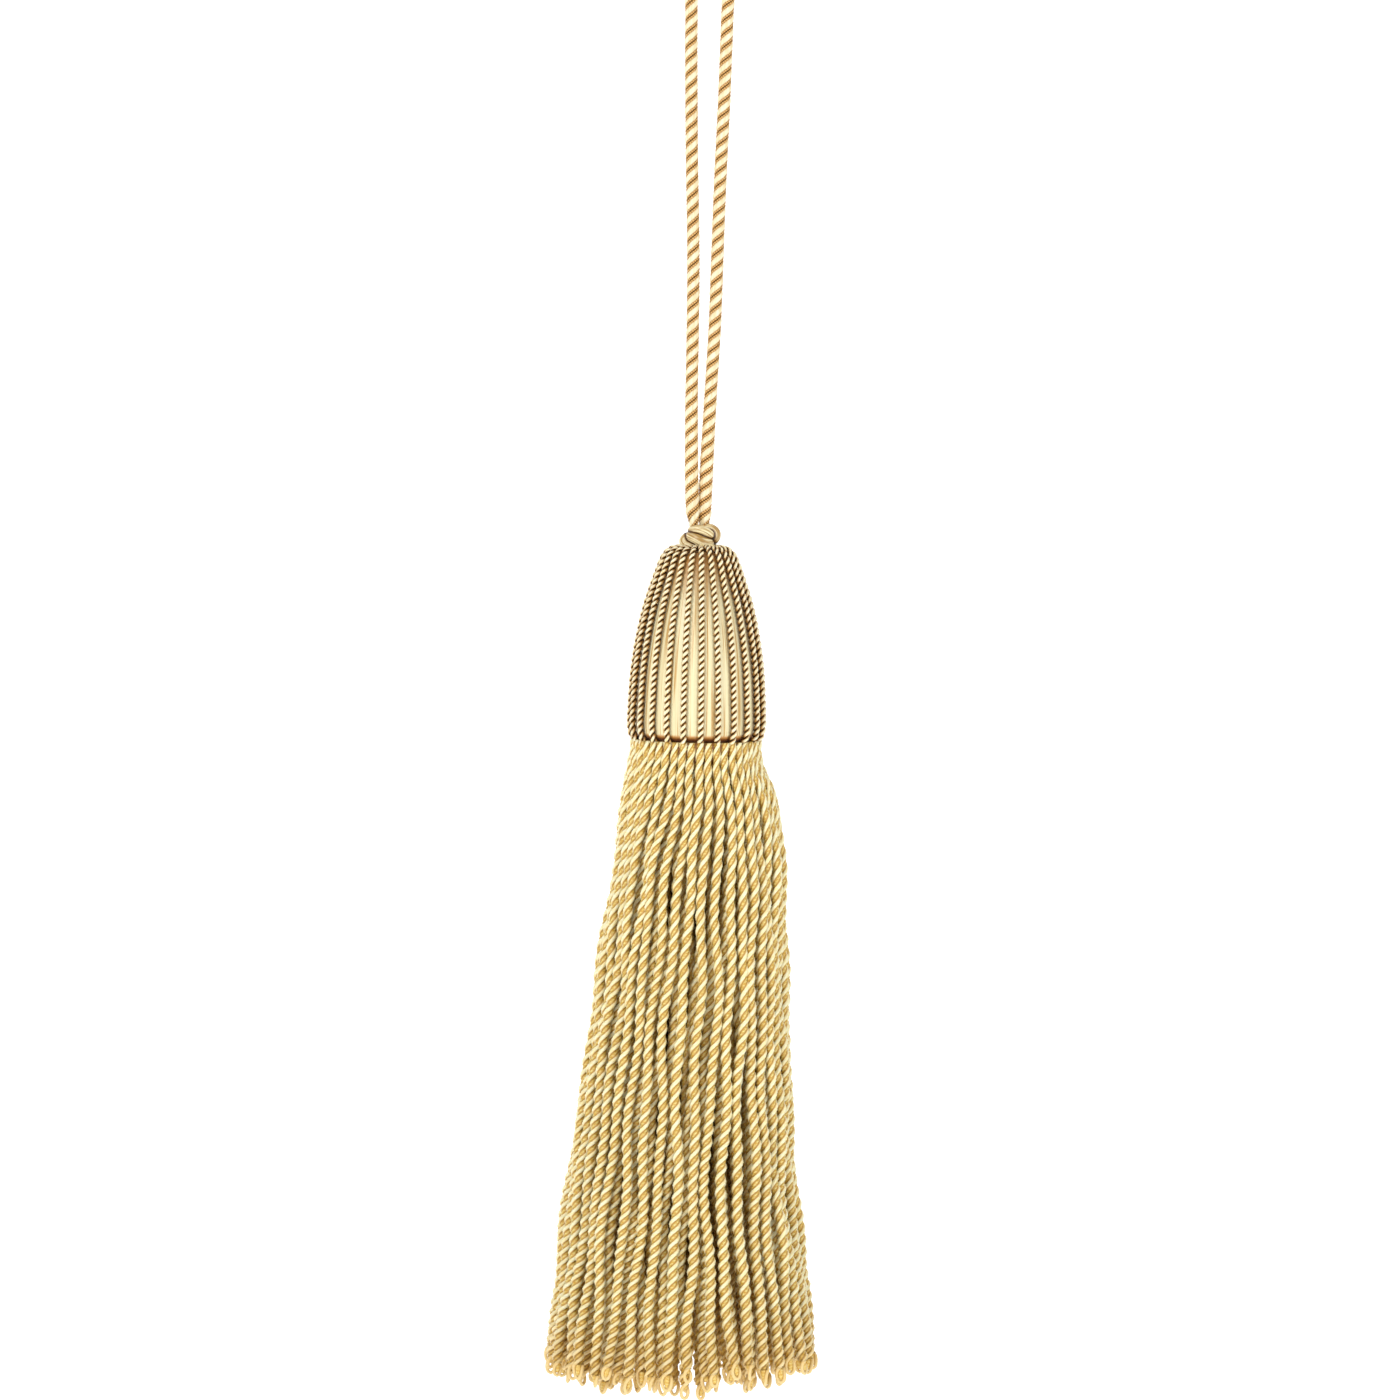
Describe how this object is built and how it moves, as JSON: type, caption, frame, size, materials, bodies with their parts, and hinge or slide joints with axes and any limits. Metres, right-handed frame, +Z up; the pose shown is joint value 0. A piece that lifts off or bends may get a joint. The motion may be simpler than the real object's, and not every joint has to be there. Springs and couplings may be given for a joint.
{
  "type": "tassel with a looped hanging cord",
  "caption": "Hanging silk tassel: looped twisted cord, knot, bell-shaped satin head with raised cords, and a skirt of twisted bullion strands.",
  "frame": {"origin": "the hang point: inside the top of the cord's loop", "axes": "+Z up along the hanging tassel, the picture's side towards -Y, +X to its right"},
  "size_m": [0.0651, 0.0653, 0.3477],
  "materials": {
    "cord_silk": "four-ply twist of cream and gold silk, soft lustre",
    "knot_silk": "cream-tan silk with fine lines along the cord, satin lustre",
    "head_satin": "pale peach-gold floss satin, vertical threads, glossy",
    "head_cord_metal_thread": "antique-gold metallic thread, two-ply twist",
    "bullion_silk": "cream-yellow silk bullion with gold between the plies"
  },
  "bodies": {
    "root": {"hanging_cord": "cord_silk", "knot": "knot_silk", "head_mould": "head_satin", "head_cord_01": "head_cord_metal_thread", "head_cord_02": "head_cord_metal_thread", "head_cord_03": "head_cord_metal_thread", "head_cord_04": "head_cord_metal_thread", "head_cord_05": "head_cord_metal_thread", "head_cord_06": "head_cord_metal_thread", "head_cord_07": "head_cord_metal_thread", "head_cord_08": "head_cord_metal_thread", "head_cord_09": "head_cord_metal_thread", "head_cord_10": "head_cord_metal_thread", "head_cord_11": "head_cord_metal_thread", "head_cord_12": "head_cord_metal_thread", "head_cord_13": "head_cord_metal_thread", "head_cord_14": "head_cord_metal_thread", "head_cord_15": "head_cord_metal_thread", "head_cord_16": "head_cord_metal_thread", "head_cord_17": "head_cord_metal_thread", "head_cord_18": "head_cord_metal_thread", "head_cord_19": "head_cord_metal_thread", "head_cord_20": "head_cord_metal_thread", "head_cord_21": "head_cord_metal_thread", "head_cord_22": "head_cord_metal_thread", "head_cord_23": "head_cord_metal_thread", "head_cord_24": "head_cord_metal_thread", "skirt": "bullion_silk"}
  },
  "joints": []
}
